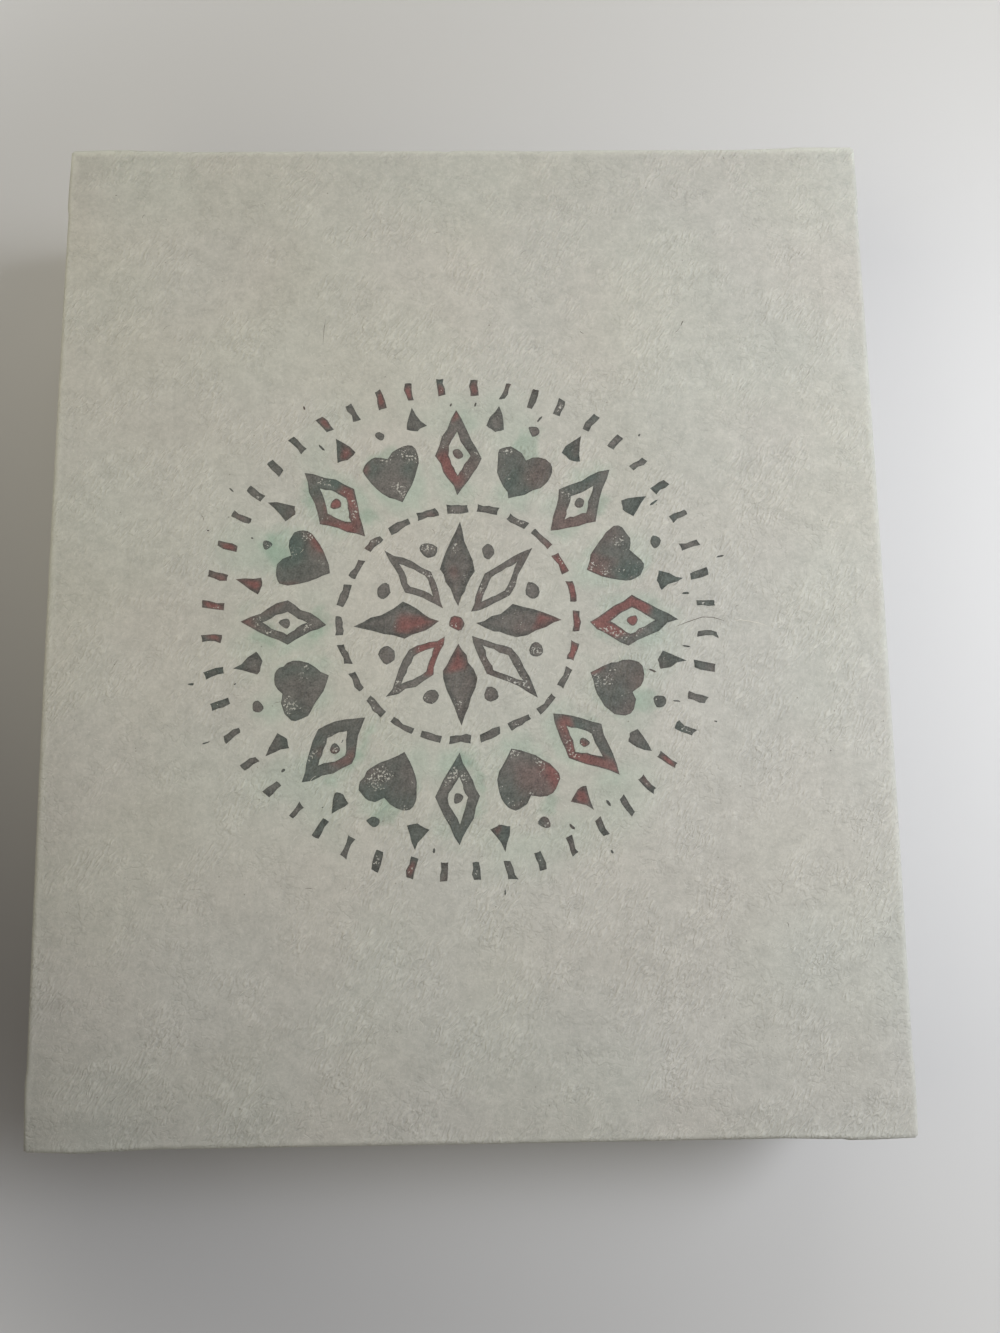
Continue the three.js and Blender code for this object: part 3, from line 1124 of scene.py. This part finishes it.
def board_material():
    """Greyboard of waste paper: grey pulp with darker and lighter scraps."""
    material, tree, shader, place = new_material("greyboard")
    pulp = add_noise(tree, place, size=1.4, detail=4, roughness=0.65)
    scraps = add_noise(tree, add_vector(tree, "MULTIPLY", place, (1, 1, 3)), size=0.5)
    colour = add_blend(tree, add_ramp(tree, pulp, 0.3, 0.7), BOARD_DARK, BOARD_LIGHT)
    colour = add_blend(tree, add_ramp(tree, scraps, 0.66, 0.74, high=0.6), colour, PAPER_LIGHT)
    colour = add_blend(tree, add_ramp(tree, scraps, 0.34, 0.26, high=0.6), colour, PAPER_DARK)
    set_surface(tree, shader, colour, add_sum(tree, BOARD_ROUGHNESS, [(pulp, 0.08)]), pulp, BOARD_RELIEF)
    return material


def tape_material():
    """Brown gummed paper tape."""
    material, tree, shader, place = new_material("gummed_tape")
    pulp = add_noise(tree, place, size=2.2, detail=4, roughness=0.6)
    lines = add_noise(tree, add_vector(tree, "MULTIPLY", place, (1, 1, 0.1)), size=0.7)
    colour = add_blend(tree, add_ramp(tree, pulp, 0.25, 0.75), TAPE_DARK, TAPE_LIGHT)
    colour = add_tone(tree, colour, add_sum(tree, 1, [(lines, 0.2)]))
    set_surface(tree, shader, colour, add_sum(tree, TAPE_ROUGHNESS, [(pulp, 0.15)]), pulp, PAPER_RELIEF)
    return material


def ink_material():
    """Block-printing ink, thin enough for the paper to show through in places."""
    material, tree, shader, place = new_material("block_print_ink")
    paper, height = sheet_colour(tree, place, PAPER_COLOUR, clouding=1.0, felt=1.0)
    rim = add_node(tree, "ShaderNodeAttribute", attribute_name="rim").outputs["Fac"]
    centred = from_print_middle(tree, place)
    coverage = use_group(tree, "coverage", {"Place": centred, "Rim": rim})
    bleed = use_group(tree, "bleed", {"Place": centred})

    radius = add_length(tree, add_vector(tree, "MULTIPLY", centred, (1, 1, 0)))
    outward = add_ramp(tree, radius, 20, 46, high=0.7)
    drift = add_ramp(tree, add_noise(tree, centred, size=12), 0.35, 0.65)
    green = add_product(tree, add_math(tree, "MAXIMUM", outward, bleed["Tight"]), drift)
    green = add_math(tree, "MAXIMUM", green, add_product(tree, rim, 0.35))
    colour = add_blend(tree, green, INK_GREY, INK_GREEN)

    browns = add_noise(tree, add_shift(tree, centred, 40, 9, 30), size=18)
    colour = add_blend(tree, add_ramp(tree, browns, 0.5, 0.75, high=0.35), colour, INK_RED)
    reds = add_noise(tree, add_shift(tree, centred, 11, 5, 90), size=15, detail=1)
    inside = add_math(tree, "MULTIPLY_ADD", rim, -0.8, 1)
    colour = add_blend(tree, add_product(tree, add_ramp(tree, reds, 0.57, 0.66), inside), colour, INK_RED)

    colour = add_tone(tree, colour, add_math(tree, "MULTIPLY_ADD", rim, -RIM_SHADE, coverage["Density"]))
    colour = add_blend(tree, coverage["Cover"], paper, colour)
    roughness = add_sum(tree, INK_ROUGHNESS, [(coverage["Density"], 0.1)])
    height = add_math(tree, "MULTIPLY_ADD", coverage["Cover"], INK_RISE, height)
    set_surface(tree, shader, colour, roughness, height, PAPER_RELIEF)
    shader["Specular IOR Level"].default_value = INK_SPECULAR
    return material


def fibre_material(name, colour):
    """A stray fibre of one colour."""
    material, tree, shader, place = new_material(name)
    shader["Base Color"].default_value = colour
    shader["Roughness"].default_value = FIBRE_ROUGHNESS
    inputs = {"Distance": PAPER_RELIEF / 4, "Height": add_noise(tree, place, size=0.1)}
    tree.links.new(add_node(tree, "ShaderNodeBump", inputs).outputs[0], shader["Normal"])
    return material


# The pieces

cover_of_lid = cover_material("kraft_paper_lid", lid, printed=True)
cover_of_tray = cover_material("kraft_paper_tray", tray)
lining_paper = plain_sheet_material("lining_paper", LINING_COLOUR, PAPER_RELIEF / 2)
bottom_paper = plain_sheet_material("kraft_paper_bottom", PAPER_COLOUR, PAPER_RELIEF)
greyboard = board_material()
gummed_tape = tape_material()

for name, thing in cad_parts.items():
    if name.endswith("_board"):
        finish = greyboard
    elif "corner_stay" in name:
        finish = gummed_tape
    elif name.endswith("_lining"):
        finish = lining_paper
    else:
        finish = bottom_paper
    thing.data.materials.clear()
    thing.data.materials.append(finish)

lid_cover(cover_of_lid)
tray_cover(cover_of_tray)
lining(lid, lining_paper, LID_BLISTERS)
lining(tray, lining_paper, TRAY_BLISTERS)
block_print(ink_material())
draw = random.Random(SCATTER_SEED)
dark_fibres = [*DARK_FIBRES, *scattered(draw, DARK_SCATTER)]
pale_fibres = [*PALE_FIBRES, *scattered(draw, PALE_SCATTER)]
stray_fibres("dark_fibres", dark_fibres, fibre_material("dark_fibre", FIBRE_DARK))
stray_fibres("pale_fibres", pale_fibres, fibre_material("pale_fibre", FIBRE_LIGHT))


# Stage


def add_camera():
    data = bpy.data.cameras.new("camera")
    data.sensor_fit = "VERTICAL"
    data.sensor_height = SENSOR
    data.lens = SENSOR * FOCAL_PIXELS / PHOTO_SIZE[1]
    data.clip_start = CLIP_START
    camera = bpy.data.objects.new("camera", data)
    bpy.context.collection.objects.link(camera)
    x, y, z = CAMERA_PLACE
    camera.location = (x, y, lid.face_z + z)
    camera.rotation_euler = [math.radians(turn) for turn in CAMERA_TURNS]
    bpy.context.scene.camera = camera


def background_share(tree):
    """1 for what the camera sees, straight or in gloss or glass, and 0 for light on its way to the object."""
    path = tree.nodes.new("ShaderNodeLightPath").outputs
    seen = add_math(tree, "MAXIMUM", path["Is Camera Ray"], path["Is Glossy Ray"])
    return add_math(tree, "MAXIMUM", seen, path["Is Transmission Ray"])


def floor_material():
    """A plain pale floor that fades into the background away from the object."""
    material, tree, shader, place = new_material("floor")
    shader["Base Color"].default_value = FLOOR_COLOUR
    shader["Roughness"].default_value = FLOOR_ROUGHNESS
    shader["Specular IOR Level"].default_value = 0
    distance = add_length(tree, place)
    far = add_product(tree, add_ramp(tree, distance, *FLOOR_FADE), background_share(tree))
    glow = add_node(tree, "ShaderNodeEmission", {"Color": BACKGROUND, "Strength": 1.0}).outputs[0]
    surface = tree.nodes["Principled BSDF"].outputs[0]
    mixed = add_node(tree, "ShaderNodeMixShader", {0: far, 1: surface, 2: glow}).outputs[0]
    tree.links.new(mixed, tree.nodes["Material Output"].inputs["Surface"])
    return material


def add_floor():
    select_none()
    bpy.ops.mesh.primitive_plane_add(size=FLOOR_SIZE, location=(0, 0, -GLUE))
    floor = bpy.context.object
    floor.name = "floor"
    floor.data.materials.append(floor_material())


def soft_lamp(name, place, target, size, spread, power, colour):
    """A square lamp. Its spread is in degrees."""
    data = bpy.data.lights.new(name, "AREA")
    data.shape = "SQUARE"
    data.size = size
    data.spread = math.radians(spread)
    data.energy = power
    data.color = colour
    lamp = bpy.data.objects.new(name, data)
    bpy.context.collection.objects.link(lamp)
    lamp.visible_camera = False
    lamp.location = place
    lamp.rotation_euler = (Vector(target) - lamp.location).to_track_quat("-Z", "Y").to_euler()


def add_room():
    """Weak light from all round, behind which the camera sees the plain background."""
    world = bpy.data.worlds.new("room")
    bpy.context.scene.world = world
    world.use_nodes = True
    tree = world.node_tree
    inputs = {"Color": ROOM_COLOUR, "Strength": ROOM_STRENGTH}
    room = add_node(tree, "ShaderNodeBackground", inputs).outputs[0]
    behind = add_node(tree, "ShaderNodeBackground", {"Color": BACKGROUND, "Strength": 1.0}).outputs[0]
    shown = add_node(tree, "ShaderNodeMixShader", {0: background_share(tree), 1: room, 2: behind})
    tree.links.new(shown.outputs[0], tree.nodes["World Output"].inputs["Surface"])


add_camera()
add_floor()
soft_lamp("window", place=(0.485, 0.1, 0.44), target=(0.275, 0.004, 0.04), size=0.3, spread=80,
          power=1.055, colour=(0.95, 1, 1.108))
soft_lamp("wall", place=(-0.15, 0.009, 0.265), target=(0.7, 0.503, 0.04), size=0.3, spread=150,
          power=0.42, colour=(1.033, 1, 0.852))
soft_lamp("sky", place=(0.1, 0.6, 0.3), target=(0, 0, 0.04), size=0.4, spread=150,
          power=0.61, colour=(1, 1, 1))
add_room()
bpy.context.scene.view_settings.view_transform = "Standard"
